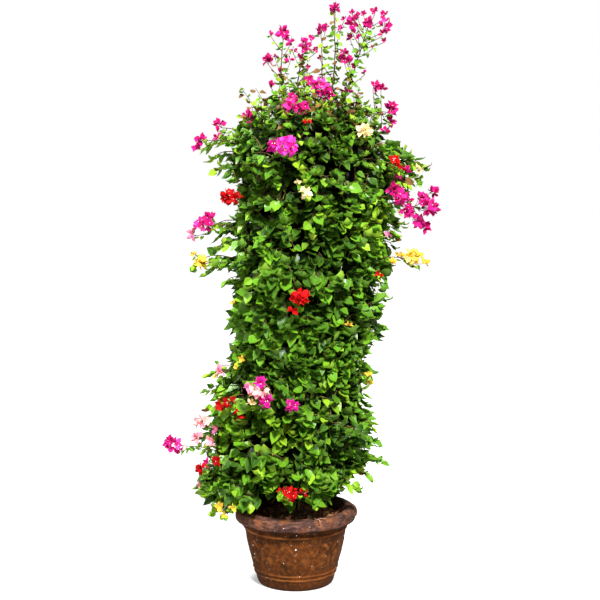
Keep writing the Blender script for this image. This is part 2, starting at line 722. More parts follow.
def turn_up(name, outline, steps, finish):
    """A closed round solid, drawn up ring by ring from the middle of its underside."""
    radius, height = outline[0]
    foot = (0, 0, height)
    bpy.ops.mesh.primitive_circle_add(vertices=steps, radius=radius, fill_type="NGON", location=foot)
    take_up(bpy.context.active_object)
    bpy.ops.object.transform_apply(location=True)
    obj = begin(name, [finish])
    bpy.ops.mesh.select_all(action="SELECT")
    for (radius, height), (next_radius, next_height) in zip(outline, outline[1:]):
        lift = {"value": (0, 0, next_height - height)}
        bpy.ops.mesh.extrude_region_move(TRANSFORM_OT_translate=lift)
        share = next_radius / radius
        bpy.ops.transform.resize(value=(share, share, 1), center_override=(0, 0, next_height))
    bpy.ops.mesh.select_all(action="SELECT")
    bpy.ops.mesh.normals_make_consistent(inside=False)
    leave_edit()
    return obj


def model_blade(name, rows, columns, fold, bends, ripple, thickness, stalk, finishes):
    """A leaf or bract along +Y, upper side up, the end of its stalk at the origin.
    Each row is a place along it and its half width there."""
    steps = len(rows) - 1
    bpy.ops.mesh.primitive_grid_add(x_subdivisions=columns, y_subdivisions=steps, size=1)
    obj = begin(name, finishes)
    bands = lines_of(obj, 1)
    files = lines_of(obj, 0)
    for j, (along, half) in enumerate(rows):
        middle = j / steps - 0.5
        pick(obj, bands[j])
        bpy.ops.transform.resize(value=(2 * half, 1, 1), center_override=(0, middle, 0))
        bpy.ops.transform.translate(value=(0, along + stalk - middle, 0))
    for side, lines in ((1, files[: columns // 2]), (-1, files[columns // 2 + 1 :])):
        pick(obj, sum(lines, []))
        bpy.ops.transform.rotate(value=-side * fold, orient_axis="Y", center_override=(0, 0, 0))
    for j, (along, _) in enumerate(rows[:-1]):
        pick(obj, sum(bands[j + 1 :], []))
        hinge = edit_mesh(obj).verts[bands[j][columns // 2]].co.copy()
        bpy.ops.transform.rotate(value=bends[j], orient_axis="X", center_override=hinge)
    for j in range(1, steps):
        pick(obj, [bands[j][0], bands[j][-1]])
        bpy.ops.transform.translate(value=(0, 0, ripple * (-1) ** j))
    bpy.ops.mesh.select_all(action="SELECT")
    bpy.ops.mesh.remove_doubles(threshold=1e-4)
    leave_edit()
    slots = {"material_offset": 1, "material_offset_rim": 2}
    apply_modifier(obj, "SOLIDIFY", thickness=thickness, offset=0, use_even_offset=True, **slots)
    bpy.ops.object.mode_set(mode="EDIT")
    pick_faces(obj, lambda face: face.material_index == 2)
    bpy.ops.mesh.remove_doubles(threshold=thickness * 1.5)
    if stalk:
        bpy.ops.mesh.select_all(action="DESELECT")
        bpy.ops.mesh.primitive_cone_add(
            vertices=3,
            radius1=thickness * 1.1,
            radius2=thickness * 1.4,
            depth=stalk * 1.15,
            location=(0, stalk * 0.575, 0),
            rotation=(-math.pi / 2, 0, 0),
        )
        obj.active_material_index = 2
        bpy.ops.object.material_slot_assign()
    leave_edit()
    return obj


def model_flower(name):
    """The small pale tube of a true flower, its foot at the origin and its star up."""
    foot, top, length = FLOWER_TUBE
    middle = (0, 0, length / 2)
    bpy.ops.mesh.primitive_cone_add(vertices=4, radius1=foot, radius2=top, depth=length, location=middle)
    take_up(bpy.context.active_object)
    bpy.ops.object.transform_apply(location=True)
    obj = begin(name, ["magenta bract", "flower"])
    pick_faces(obj, lambda face: face.normal.z > 0.9)
    bpy.ops.mesh.extrude_region_move(TRANSFORM_OT_translate={"value": (0, 0, 0.0012)})
    bpy.ops.transform.resize(value=(1.7, 1.7, 1))
    obj.active_material_index = 1
    bpy.ops.object.material_slot_assign()
    leave_edit()
    return obj


def model_lump(name, finish, size, cuts, seed):
    """A rough lump: a crumb of soil, or the root crown."""
    bpy.ops.mesh.primitive_ico_sphere_add(subdivisions=1, radius=1, location=(0, 0, 0))
    obj = begin(name, [finish])
    bpy.ops.mesh.select_all(action="SELECT")
    if cuts:
        bpy.ops.mesh.subdivide(number_cuts=cuts, smoothness=0.6)
    bpy.ops.transform.vertex_random(offset=0.30, seed=seed)
    bpy.ops.transform.resize(value=size, center_override=(0, 0, 0))
    leave_edit()
    return obj


def model_chip(name, seed):
    """A flat flake of bark."""
    bpy.ops.mesh.primitive_cube_add(size=2, location=(0, 0, 0))
    obj = begin(name, ["chip"])
    bpy.ops.mesh.select_all(action="SELECT")
    bpy.ops.mesh.subdivide(number_cuts=1)
    bpy.ops.transform.vertex_random(offset=0.35, seed=seed)
    bpy.ops.transform.resize(value=(0.0045, 0.0130, 0.0012), center_override=(0, 0, 0))
    leave_edit()
    return obj


# Copies of modelled shapes


def read(data, key, width=1, kind=float):
    """One property of all the items of a mesh, as an array."""
    values = np.empty(len(data) * width, kind)
    data.foreach_get(key, values)
    return values.reshape(-1, width) if width > 1 else values


class Shape:
    """A modelled shape, read once from its object so that it can be copied many times."""

    def __init__(self, obj):
        mesh = obj.data
        self.places = read(mesh.vertices, "co", 3)
        self.corners = read(mesh.loops, "vertex_index", 1, int)
        self.starts = read(mesh.polygons, "loop_start", 1, int)
        self.slots = read(mesh.polygons, "material_index", 1, int)
        self.pattern = np.zeros((len(self.corners), 2))
        if mesh.uv_layers:
            self.pattern = read(mesh.uv_layers[0].data, "uv", 2)
        self.finishes = [material.name for material in mesh.materials]
        bpy.data.objects.remove(obj)

    def dressed(self, *finishes):
        """The same shape in other finishes."""
        other = object.__new__(Shape)
        other.__dict__.update(self.__dict__)
        other.finishes = list(finishes)
        return other


class Bunch:
    """Copies of shapes that become one piece."""

    def __init__(self, name):
        self.name = name
        self.copies = {}

    def add(self, shape, matrix=Matrix.Identity(4), tone=0.5):
        self.copies.setdefault(shape, []).append((matrix, tone))

    def add_tubes(self, lines, finish, resolution=0):
        """Closed tubes: each line is its points and the radii at its two ends."""
        curve = bpy.data.curves.new(self.name, "CURVE")
        curve.dimensions = "3D"
        curve.bevel_depth = 1.0
        curve.bevel_resolution = resolution
        curve.use_fill_caps = True
        curve.materials.append(FINISHES[finish])
        for points, first, last in lines:
            spline = curve.splines.new("POLY")
            spline.points.add(len(points) - 1)
            for i, (point, place) in enumerate(zip(spline.points, points)):
                point.co = (*place, 1)
                point.radius = first + (last - first) * i / (len(points) - 1)
        obj = bpy.data.objects.new(self.name, curve)
        bpy.context.scene.collection.objects.link(obj)
        take_up(obj)
        bpy.ops.object.convert(target="MESH")
        self.add(Shape(bpy.context.active_object))

    def finish(self, slot, *nodes):
        """Joins the copies into one mesh, which rides on the part and stands for the nodes."""
        places, corners, starts, slots, pattern, tones = [], [], [], [], [], []
        names = sorted({name for shape in self.copies for name in shape.finishes})
        vert_count = corner_count = 0
        for shape, copies in self.copies.items():
            count = len(copies)
            matrices = np.array([matrix for matrix, _ in copies], float)
            moved = np.einsum("kij,nj->kni", matrices[:, :3, :3], shape.places) + matrices[:, None, :3, 3]
            places.append(moved.reshape(-1, 3))
            steps = np.arange(count)[:, None]
            corners.append((shape.corners + steps * len(shape.places) + vert_count).ravel())
            starts.append((shape.starts + steps * len(shape.corners) + corner_count).ravel())
            local = np.array([names.index(name) for name in shape.finishes])
            slots.append(np.tile(local[shape.slots], count))
            pattern.append(np.tile(shape.pattern, (count, 1)))
            tones.append(np.repeat([tone for _, tone in copies], len(shape.places)))
            vert_count += count * len(shape.places)
            corner_count += count * len(shape.corners)
        mesh = bpy.data.meshes.new(self.name)
        places = np.concatenate(places)
        starts = np.concatenate(starts)
        mesh.vertices.add(vert_count)
        mesh.vertices.foreach_set("co", places.ravel())
        mesh.loops.add(corner_count)
        mesh.loops.foreach_set("vertex_index", np.concatenate(corners))
        mesh.polygons.add(len(starts))
        mesh.polygons.foreach_set("loop_start", starts)
        mesh.polygons.foreach_set("material_index", np.concatenate(slots))
        mesh.update(calc_edges=True)
        mesh.uv_layers.new(name="Blade").data.foreach_set("uv", np.concatenate(pattern).ravel())
        mesh.attributes.new("tone", "FLOAT", "POINT").data.foreach_set("value", np.concatenate(tones))
        mesh.attributes.new("depth", "FLOAT", "POINT").data.foreach_set("value", column_share(places))
        for name in names:
            mesh.materials.append(FINISHES[name])
        obj = bpy.data.objects.new(self.name, mesh)
        bpy.context.scene.collection.objects.link(obj)
        return place_piece(obj, slot, *nodes)


def place_piece(obj, slot, *nodes):
    """Smooths a finished piece, lets it ride on the part and hides the nodes that it stands for."""
    take_up(obj)
    bpy.ops.object.shade_smooth_by_angle(angle=math.radians(58))
    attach(obj, "root")
    if nodes:
        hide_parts(*nodes)
    return obj


# Materials


FLOAT = "NodeSocketFloat"
COLOUR = "NodeSocketColor"
FINISHES = {}
GROUPS = {}


def plug(tree, sockets, inputs):
    """Links or sets each of the sockets that is given something."""
    for key, value in inputs.items():
        if isinstance(value, bpy.types.NodeSocket):
            tree.links.new(value, sockets[key])
        else:
            sockets[key].default_value = value


def node(tree, kind, inputs=None, **settings):
    """A shader node with its inputs linked or set."""
    made = tree.nodes.new(kind)
    for key, value in settings.items():
        setattr(made, key, value)
    plug(tree, made.inputs, inputs or {})
    return made


def opaque(colour):
    """A plain colour with its alpha, or a socket as it is."""
    return (*colour, 1.0) if isinstance(colour, tuple) else colour


def mix_colours(tree, share, first, second, blend="MIX"):
    """The first colour, mixed with that share of the second."""
    inputs = {"Factor": share, 6: opaque(first), 7: opaque(second)}
    return node(tree, "ShaderNodeMix", inputs, data_type="RGBA", blend_type=blend).outputs[2]


def sums(tree, operation, first, second=0.0):
    return node(tree, "ShaderNodeMath", {0: first, 1: second}, operation=operation).outputs[0]


def times(tree, first, second):
    return sums(tree, "MULTIPLY", first, second)


def tint(tree, colour, other, mask, strength):
    """The colour, with another laid over it by a mask, at that strength."""
    return mix_colours(tree, times(tree, mask, strength), colour, other)


def darken(tree, colour, light):
    """The colour, dimmed to that share of itself."""
    grey = node(tree, "ShaderNodeCombineColor", {0: light, 1: light, 2: light}).outputs[0]
    return mix_colours(tree, 1.0, colour, grey, "MULTIPLY")


def spread(tree, value, low, high, start=0.0, end=1.0):
    """The value's range from low to high, stretched to run from start to end."""
    limits = {"Value": value, "From Min": low, "From Max": high, "To Min": start, "To Max": end}
    return node(tree, "ShaderNodeMapRange", limits, interpolation_type="SMOOTHSTEP").outputs[0]


def object_place(tree):
    return node(tree, "ShaderNodeTexCoord").outputs["Object"]


def attribute(tree, name):
    """A value that each place of a piece's mesh carries."""
    return node(tree, "ShaderNodeAttribute", attribute_name=name).outputs["Fac"]


def start_group(name, inputs, outputs):
    """A new node group: its tree, the sockets that it is given and those of its result."""
    tree = bpy.data.node_groups.new(name, "ShaderNodeTree")
    for label, kind, value in inputs:
        socket = tree.interface.new_socket(label, in_out="INPUT", socket_type=kind)
        socket.default_value = value
    for label, kind in outputs:
        tree.interface.new_socket(label, in_out="OUTPUT", socket_type=kind)
    given = tree.nodes.new("NodeGroupInput")
    result = tree.nodes.new("NodeGroupOutput")
    return tree, given.outputs, result.inputs


def use_group(tree, name, inputs):
    return node(tree, "ShaderNodeGroup", inputs, node_tree=GROUPS[name]).outputs


def patches(tree, scale, detail, low=0.4, high=0.6, flatness=1.0):
    """A mask of soft patches, which are flat streaks where the flatness is large."""
    inputs = {"Scale": scale, "Detail": detail, "Low": low, "High": high, "Flatness": flatness}
    return use_group(tree, "patches", inputs)["Mask"]


def specks(tree, scale, size, share):
    """A mask of scattered specks."""
    return use_group(tree, "specks", {"Scale": scale, "Size": size, "Share": share})["Mask"]


def patches_group():
    """Soft patches over a surface, between two levels of a noise."""
    labels = (("Scale", 10.0), ("Detail", 4.0), ("Low", 0.4), ("High", 0.6), ("Flatness", 1.0))
    inputs = [(label, FLOAT, value) for label, value in labels]
    tree, given, result = start_group("Patches", inputs, [("Mask", FLOAT)])
    layers = node(tree, "ShaderNodeCombineXYZ", {0: 1.0, 1: 1.0, 2: given["Flatness"]}).outputs[0]
    stretched = {0: object_place(tree), 1: layers}
    place = node(tree, "ShaderNodeVectorMath", stretched, operation="MULTIPLY").outputs[0]
    pattern = {"Vector": place, "Scale": given["Scale"], "Detail": given["Detail"]}
    cloud = node(tree, "ShaderNodeTexNoise", pattern).outputs[0]
    plug(tree, result, {"Mask": spread(tree, cloud, given["Low"], given["High"])})
    return tree


def specks_group():
    """Scattered round specks of uneven size."""
    inputs = (("Scale", FLOAT, 60.0), ("Size", FLOAT, 0.2), ("Share", FLOAT, 0.3))
    tree, given, result = start_group("Specks", inputs, [("Mask", FLOAT)])
    pattern = {"Vector": object_place(tree), "Scale": given["Scale"]}
    cells = node(tree, "ShaderNodeTexVoronoi", pattern).outputs
    chance = node(tree, "ShaderNodeSeparateColor", {0: cells["Color"]}).outputs
    chosen = sums(tree, "LESS_THAN", chance[0], given["Share"])
    edge = times(tree, given["Size"], sums(tree, "ADD", chance[1], SMALLEST_SPECK))
    near = sums(tree, "LESS_THAN", cells["Distance"], edge)
    plug(tree, result, {"Mask": times(tree, chosen, near)})
    return tree


def veins_group():
    """The midrib, side veins and rim of a blade, on its own pattern map."""
    inputs = (("Count", FLOAT, 6.0), ("Slant", FLOAT, 1.6), ("Midrib", FLOAT, 0.03))
    outputs = [(label, FLOAT) for label in ("Midrib", "Side", "Rim")]
    tree, given, result = start_group("Veins", inputs, outputs)
    place = node(tree, "ShaderNodeUVMap", uv_map="Blade").outputs[0]
    across, along, _ = node(tree, "ShaderNodeSeparateXYZ", {0: place}).outputs
    aside = sums(tree, "ABSOLUTE", sums(tree, "SUBTRACT", across, 0.5))
    rise = sums(tree, "SUBTRACT", along, times(tree, aside, given["Slant"]))
    wave = sums(tree, "FRACT", times(tree, rise, given["Count"]))
    crest = sums(tree, "ABSOLUTE", sums(tree, "SUBTRACT", wave, 0.5))
    midrib = spread(tree, aside, given["Midrib"], 0.0)
    side = spread(tree, crest, SIDE_VEIN_WIDTH, 0.0)
    rim = spread(tree, aside, 0.5 - BLADE_RIM, 0.5)
    plug(tree, result, {"Midrib": midrib, "Side": side, "Rim": rim})
    return tree


def blade_colour_group():
    """A blade's colour by its tone, with veins and blotches, and darker deep in the bush."""
    inputs = [(label, COLOUR, opaque((0, 0, 0))) for label in BLADE_COLOURS]
    inputs += [("Vein strength", FLOAT, 0.5), ("Rim strength", FLOAT, 0.45), ("Blotches", FLOAT, 0.3)]
    inputs += [("Shade", FLOAT, 0.2), ("Count", FLOAT, 6.0), ("Slant", FLOAT, 1.6)]
    tree, given, result = start_group("Blade colour", inputs, (("Colour", COLOUR), ("Relief", FLOAT)))
    tone = attribute(tree, "tone")
    colour = mix_colours(tree, spread(tree, tone, 0.0, 0.5), given["Dark"], given["Middle"])
    colour = mix_colours(tree, spread(tree, tone, 0.5, 1.0), colour, given["Light"])
    colour = tint(tree, colour, given["Light"], patches(tree, 90.0, 3.0, 0.35, 0.70), given["Blotches"])
    lines = use_group(tree, "veins", {"Count": given["Count"], "Slant": given["Slant"]})
    vein = sums(tree, "MAXIMUM", lines["Midrib"], times(tree, lines["Side"], SIDE_VEIN_STRENGTH))
    colour = tint(tree, colour, given["Vein"], vein, given["Vein strength"])
    colour = tint(tree, colour, given["Light"], lines["Rim"], given["Rim strength"])
    lit = times(tree, attribute(tree, "depth"), sums(tree, "SUBTRACT", 1.0, given["Shade"]))
    colour = darken(tree, colour, sums(tree, "ADD", given["Shade"], lit))
    plug(tree, result, {"Colour": colour, "Relief": vein})
    return tree


def start_material(name):
    """A new finish: its tree, its Principled BSDF and its output."""
    material = bpy.data.materials.new(name)
    material.use_nodes = True
    FINISHES[name] = material
    tree = material.node_tree
    tree.nodes.clear()
    shader = tree.nodes.new("ShaderNodeBsdfPrincipled")
    output = tree.nodes.new("ShaderNodeOutputMaterial")
    tree.links.new(shader.outputs[0], output.inputs["Surface"])
    return tree, shader, output


def finish_surface(tree, shader, inputs, relief, strength, depth):
    """Gives a shader its inputs, and relief of that strength and depth."""
    bump = node(tree, "ShaderNodeBump", {"Height": relief, "Strength": strength, "Distance": depth})
    plug(tree, shader.inputs, inputs | {"Normal": bump.outputs[0]})


def make_blade_finish(
    name, colours, veins, blotches, shade, roughness, specular, glow, through, count=6.0, slant=1.6
):
    """A thin blade that lets some light through, tinged by its glow."""
    tree, shader, output = start_material(name)
    inputs = {label: opaque(colour) for label, colour in zip(BLADE_COLOURS, colours)}
    inputs |= {"Vein strength": veins, "Blotches": blotches, "Shade": shade, "Count": count, "Slant": slant}
    made = use_group(tree, "blade colour", inputs)
    low, high = (roughness + change for change in BLADE_ROUGHNESS)
    rough = spread(tree, patches(tree, 55.0, 2.0, 0.3, 0.7), 0.0, 1.0, low, high)
    surface = {"Base Color": made["Colour"], "Roughness": rough, "Specular IOR Level": specular}
    finish_surface(tree, shader, surface, made["Relief"], 0.35, 0.0008)
    lit = mix_colours(tree, 1.0, made["Colour"], glow, "MULTIPLY")
    thin = node(tree, "ShaderNodeBsdfTranslucent", {"Color": lit})
    both = node(tree, "ShaderNodeMixShader", {0: through, 1: shader.outputs[0], 2: thin.outputs[0]})
    tree.links.new(both.outputs[0], output.inputs["Surface"])


def make_bark_finish(name, dark, light, scale):
    """Bark with fine streaks, darker deep in the bush."""
    tree, shader, _ = start_material(name)
    colour = mix_colours(tree, patches(tree, scale, 6.0, 0.35, 0.65), dark, light)
    colour = darken(tree, colour, spread(tree, attribute(tree, "depth"), 0.0, 1.0, DEEPEST_BARK, 1.0))
    streaks = patches(tree, scale * 7, 3.0, 0.3, 0.7)
    surface = {"Base Color": colour, "Roughness": 0.8, "Specular IOR Level": 0.2}
    finish_surface(tree, shader, surface, streaks, 0.5, 0.0015)


def make_clay():
    """Fired clay, stained and worn, darker on the collar, with lime specks."""
    tree, shader, _ = start_material("fired clay")
    height = node(tree, "ShaderNodeSeparateXYZ", {0: object_place(tree)}).outputs[2]
    broad = patches(tree, 9.0, 7.0, 0.42, 0.61)
    fine = patches(tree, 70.0, 8.0, 0.44, 0.62)
    grain = patches(tree, 420.0, 4.0, 0.3, 0.7)
    streaks = patches(tree, 26.0, 6.0, flatness=9.0)
    body = mix_colours(tree, broad, CLAY["dark body"], CLAY["body"])
    body = tint(tree, body, CLAY["bright body"], fine, 0.38)
    body = tint(tree, body, CLAY["dust"], grain, 0.15)
    lip = mix_colours(tree, broad, CLAY["dark lip"], CLAY["lip"])
    lip = tint(tree, lip, CLAY["pale lip"], fine, 0.35)
    lip = tint(tree, lip, CLAY["streaks"], streaks, 0.65)
    edge = sums(tree, "ADD", height, times(tree, sums(tree, "SUBTRACT", broad, 0.5), LIP_EDGE_WAVE))
    colour = mix_colours(tree, spread(tree, edge, *LIP_EDGE), body, lip)
    colour = tint(tree, colour, CLAY["worn"], attribute(tree, "worn"), 0.85)
    under = times(tree, spread(tree, height, *SHADE_BELOW_LIP), spread(tree, height, *SHADE_ON_LIP))
    colour = tint(tree, colour, CLAY["under the lip"], under, 0.75)
    colour = tint(tree, colour, CLAY["damp foot"], spread(tree, height, DAMP_HEIGHT, 0.0), 0.50)
    small_specks = times(tree, specks(tree, 125.0, 0.18, 0.10), 0.55)
    lime = sums(tree, "MAXIMUM", specks(tree, 42.0, 0.13, 0.20), small_specks)
    colour = tint(tree, colour, CLAY["lime"], lime, 0.90)
    rough = spread(tree, fine, 0.0, 1.0, 0.66, 0.86)
    surface = {"Base Color": colour, "Roughness": rough, "Specular IOR Level": 0.06}
    relief = sums(tree, "ADD", times(tree, fine, 0.6), times(tree, grain, 0.4))
    finish_surface(tree, shader, surface, relief, 0.5, 0.0016)


def make_soil():
    """Damp potting soil."""
    tree, shader, _ = start_material("damp soil")
    fine = patches(tree, 260.0, 5.0, 0.40, 0.68)
    colour = mix_colours(tree, patches(tree, 30.0, 6.0, 0.34, 0.60), SOIL["dark"], SOIL["middle"])
    colour = tint(tree, colour, SOIL["dust"], fine, 0.5)
    finish_surface(tree, shader, {"Base Color": colour, "Roughness": 0.92}, fine, 0.8, 0.002)


def make_litter(name, dark, light):
    """Dry bark and leaves, each of its own tone."""
    tree, shader, _ = start_material(name)
    fine = patches(tree, 200.0, 4.0, 0.35, 0.70)
    colour = mix_colours(tree, attribute(tree, "tone"), dark, light)
    colour = tint(tree, colour, dark, fine, 0.4)
    finish_surface(tree, shader, {"Base Color": colour, "Roughness": 0.85}, fine, 0.6, 0.001)


def make_finishes():
    GROUPS["patches"] = patches_group()
    GROUPS["specks"] = specks_group()
    GROUPS["veins"] = veins_group()
    GROUPS["blade colour"] = blade_colour_group()
    for name, colours in BRACTS.items():
        make_blade_finish(f"{name} bract", colours, **BRACT_FINISH)
    for name, (colours, settings) in BLADES.items():
        make_blade_finish(name, colours, **settings)
    for name, settings in BARKS.items():
        make_bark_finish(name, *settings)
    make_clay()
    make_soil()
    for name, colours in DRY_FINISHES.items():
        make_litter(name, *colours)


# The column's form


def column_at(height):
    """The column's middle and half width at a height."""
    height = max(COLUMN[0][0], min(COLUMN[-1][0], height))
    for (low, middle0, half0), (high, middle1, half1) in zip(COLUMN, COLUMN[1:]):
        if height <= high:
            share = (height - low) / (high - low)
            return middle0 + (middle1 - middle0) * share, half0 + (half1 - half0) * share


def column_point(azimuth, height, share):
    """The point at that share of the column's half width from its middle."""
    middle, half = column_at(height)
    deep = -half * share * COLUMN_DEPTH * math.cos(azimuth)
    return Vector((middle + half * share * math.sin(azimuth), deep, height))


def azimuth_of(point):
    return math.atan2(point.x - column_at(point.z)[0], -point.y / COLUMN_DEPTH)


def outward(azimuth):
    return Vector((math.sin(azimuth), -math.cos(azimuth), 0.0))


def column_share(places):
    """How near each place is to the column's side: 0 deep inside, 1 at its leaves and beyond."""
    heights, middles, halves = np.array(COLUMN).T
    middle = np.interp(places[:, 2], heights, middles)
    half = np.interp(places[:, 2], heights, halves)
    reach = np.hypot((places[:, 0] - middle) / half, places[:, 1] / half / COLUMN_DEPTH)
    over = np.clip((places[:, 2] - COLUMN_SHOULDER) / LIT_CROWN, 0, 1)
    return np.maximum(np.clip((reach - SHADED_HEART) / LIT_EDGE, 0, 1), over)


def held_in(point, limit):
    """The point, drawn in to that share of the column's half width if it is further out."""
    middle, half = column_at(point.z)
    reach = math.hypot((point.x - middle) / half, point.y / half / COLUMN_DEPTH)
    if reach <= limit:
        return point
    return Vector((middle + (point.x - middle) * limit / reach, point.y * limit / reach, point.z))


def clamp(value):
    return min(1.0, max(0.0, value))


def bow(foot, bend, tip, count):
    """Points along one smooth bow from foot to tip through the bend."""
    control = bend * 2 - (foot + tip) / 2
    points = []
    for i in range(count):
        t = i / (count - 1)
        points.append(foot * (1 - t) ** 2 + control * 2 * t * (1 - t) + tip * t**2)
    return points


def arched(foot, tip, share, rise, count, push=Vector()):
    """A bow whose bend lies a share of the way to its tip, and over the straight line by the rise times
    that line's length. The push moves the bend aside."""
    bend = foot.lerp(tip, share) + UP * rise * (tip - foot).length + push
    return bow(foot, bend, tip, count)


def blade_matrix(root, direction, facing, size):
    """Puts a shape's foot at the root, its length along the direction and its upper side towards facing."""
    along = direction.normalized()
    across = along.cross(facing).normalized()
    over = across.cross(along)
    turn = Matrix((across, along, over)).transposed().to_4x4()
    return Matrix.Translation(root) @ turn @ Matrix.Scale(size, 4)


def shake(draw, size):
    return Vector([draw.uniform(-size, size) for _ in range(3)])


def wander(along, line):
    """A smooth sideways drift, the same each time, for a place along one of several lines."""
    return Vector([noise.noise(Vector((line * 7.3, along, axis * 4.7))) for axis in range(3)])


# Pot and soil


def wall_radius(height):
    share = height / SHOULDER_HEIGHT
    cone = POT_BASE_RADIUS + (POT_SHOULDER_RADIUS - POT_BASE_RADIUS) * share
    return cone + POT_BULGE * math.sin(math.pi * share)


def band_rise(height):
    """How far the raised bands stand out of the wall at a height."""
    return sum(rise * max(0.0, 1 - ((height - middle) / half) ** 2) for middle, half, rise in BANDS)


def pot_outline():
    """From the underside's edge up the outside, over the collar and down the inside to the floor."""
    outline = [(POT_BASE_RADIUS + out, height) for out, height in POT_FOOT]
    for i in range(WALL_STEPS + 1):
        height = WALL_START + (SHOULDER_HEIGHT - WALL_START - WALL_END) * i / WALL_STEPS
        outline.append((wall_radius(height) + band_rise(height), height))
    outline += [(POT_SHOULDER_RADIUS + out, height) for out, height in UNDER_COLLAR]
    outline += [(COLLAR_RADIUS - inward, height) for inward, height in COLLAR_SIDE]
    outline += [(MOUTH_RADIUS + out, height) for out, height in COLLAR_MOUTH]
    inner_top = wall_radius(SHOULDER_HEIGHT) - POT_WALL
    inner_floor = wall_radius(POT_FLOOR) - POT_WALL
    outline += [(inner_top + (outline[-1][0] - inner_top) * 0.4, 0.268), (inner_top, SHOULDER_HEIGHT)]
    half_way = ((inner_top + inner_floor) / 2, (SHOULDER_HEIGHT + POT_FLOOR) / 2)
    return outline + [half_way, (inner_floor, POT_FLOOR), (inner_floor * 0.5, POT_FLOOR)]


def collar_wave(azimuth):
    """The hand-rolled collar's wander round the pot, from -1 to 1."""
    return sum(share * math.sin(count * azimuth + start) for share, count, start in COLLAR_WAVES)


def arch_rise(azimuth, height):
    """A row of worn arches pressed into the wall, each with a leaf inside it and a drop between two."""
    turn = azimuth / (2 * math.pi) * ARCH_COUNT
    aside = abs(turn - math.floor(turn) - 0.5) * 2
    top = ARCH_TOP - ARCH_DROP * aside**2
    arch = math.exp(-(((height - top) / ARCH_LINE) ** 2))
    leaf = max(0.0, 1 - (aside / 0.55) ** 2 - ((height - 0.136) / 0.036) ** 2)
    drop = math.exp(-((aside - 1) ** 2) / 0.03) * max(0.0, 1 - ((height - 0.118) / 0.034) ** 2)
    return max(arch, leaf * 0.9, drop)


def shape_collar(azimuth, place):
    """The collar's wander, its sag and its chips: how far out and up it goes, and how worn it is."""
    wave = COLLAR_WAVE * collar_wave(azimuth)
    lift = 0.0
    if place.z < POT_HEIGHT - COLLAR_CREST:
        lift += COLLAR_LIFT * wave + 0.004 * noise.noise(Vector((azimuth * 5, 1, 0)))
        if place.z > COLLAR_LOW_EDGE and FOLD_START < azimuth < FOLD_END:
            lift -= FOLD_DROP * min(1.0, (azimuth - FOLD_START) * 2)
    chip = max(0.0, noise.noise(place * CHIP_SCALE) - CHIP_THRESHOLD)
    grooves = GROOVE_DEPTH * noise.noise(Vector((azimuth * 6, 0, place.z * 420)))
    return wave - CHIP_DEPTH * chip - grooves, lift, min(0.3, chip)


def shape_wall(azimuth, place):
    """The worn arches, the bands' rubbed crests and a hand-turned wobble, as for the collar."""
    low, high = ARCH_ROW
    if low < place.z < high:
        rise = arch_rise(azimuth, place.z) * (0.60 + 0.7 * noise.noise(place * 18))
        out = ARCH_RISE * max(0.0, rise) + 0.0006 * noise.noise(place * 90)
        return out, 0.0, max(0.0, rise) * (0.36 + 0.9 * noise.noise(place * 40))
    rub = min(1.0, band_rise(place.z) / 0.005) * (0.55 + 0.8 * noise.noise(place * 25))
    return 0.0007 * noise.noise(place * 60), 0.0, rub


def shape_pot(obj):
    """Gives the turned pot its hand-made form, and marks where it is worn."""
    worn = obj.data.attributes.new("worn", "FLOAT", "POINT")
    for vert in obj.data.vertices:
        reach = math.hypot(vert.co.x, vert.co.y)
        azimuth = math.atan2(vert.co.y, vert.co.x)
        out, lift, rub = 0.0, 0.0, 0.0
        if reach > COLLAR_RADIUS - COLLAR_WIDTH and vert.co.z > SHOULDER_HEIGHT:
            out, lift, rub = shape_collar(azimuth, vert.co)
        elif reach > wall_radius(vert.co.z) - 0.004 and vert.co.z > 0.004:
            out, lift, rub = shape_wall(azimuth, vert.co)
        worn.data[vert.index].value = max(0.0, rub)
        share = 1 + out / max(reach, 0.01)
        vert.co.x *= share
        vert.co.y *= share
        vert.co.z += lift


def build_pot():
    pot = turn_up("pot_of_clay", pot_outline(), POT_STEPS, "fired clay")
    shape_pot(pot)
    for i in range(DRAIN_COUNT):
        angle = (i + 0.5) * 2 * math.pi / DRAIN_COUNT
        place = (DRAIN_CIRCLE * math.cos(angle), DRAIN_CIRCLE * math.sin(angle), POT_FLOOR / 2)
        depth = POT_FLOOR * 3
        bpy.ops.mesh.primitive_cylinder_add(vertices=24, radius=DRAIN_RADIUS, depth=depth, location=place)
        drill = bpy.context.active_object
        apply_modifier(pot, "BOOLEAN", operation="DIFFERENCE", object=drill, solver="EXACT")
        bpy.data.objects.remove(drill)
    place_piece(pot, "clay", "clay_pot")


def soil_height(x, y):
    """The rough top of the soil."""
    place = Vector((x, y, 0))
    rough = noise.noise(place * 22) + 0.55 * noise.noise(place * 60) + 0.3 * noise.noise(place * 140)
    return SOIL_TOP + SOIL_RELIEF * rough


def strew_litter(litter, draw, shapes, rim):
    """Crumbs, bark chips and dry leaves on the soil, out to its rim."""
    for kind, count, lift, sizes in LITTER:
        for _ in range(count):
            angle = draw.uniform(0, 2 * math.pi)
            reach = (rim - LITTER_EDGE) * math.sqrt(draw.uniform(0.02, 1.0))
            x, y = reach * math.cos(angle), reach * math.sin(angle)
            tilt = (UP + shake(draw, 0.45)).normalized()
            along = shake(draw, 1.0)
            tone = draw.random()
            size = draw.uniform(*sizes)
            if kind == "crumbs":
                size = size**2 * LARGEST_CRUMB
            if kind == "dry leaves":
                along.z = 0.1
            matrix = blade_matrix(Vector((x, y, soil_height(x, y) + lift)), along, tilt, size)
            litter.add(draw.choice(shapes[kind]), matrix, tone)


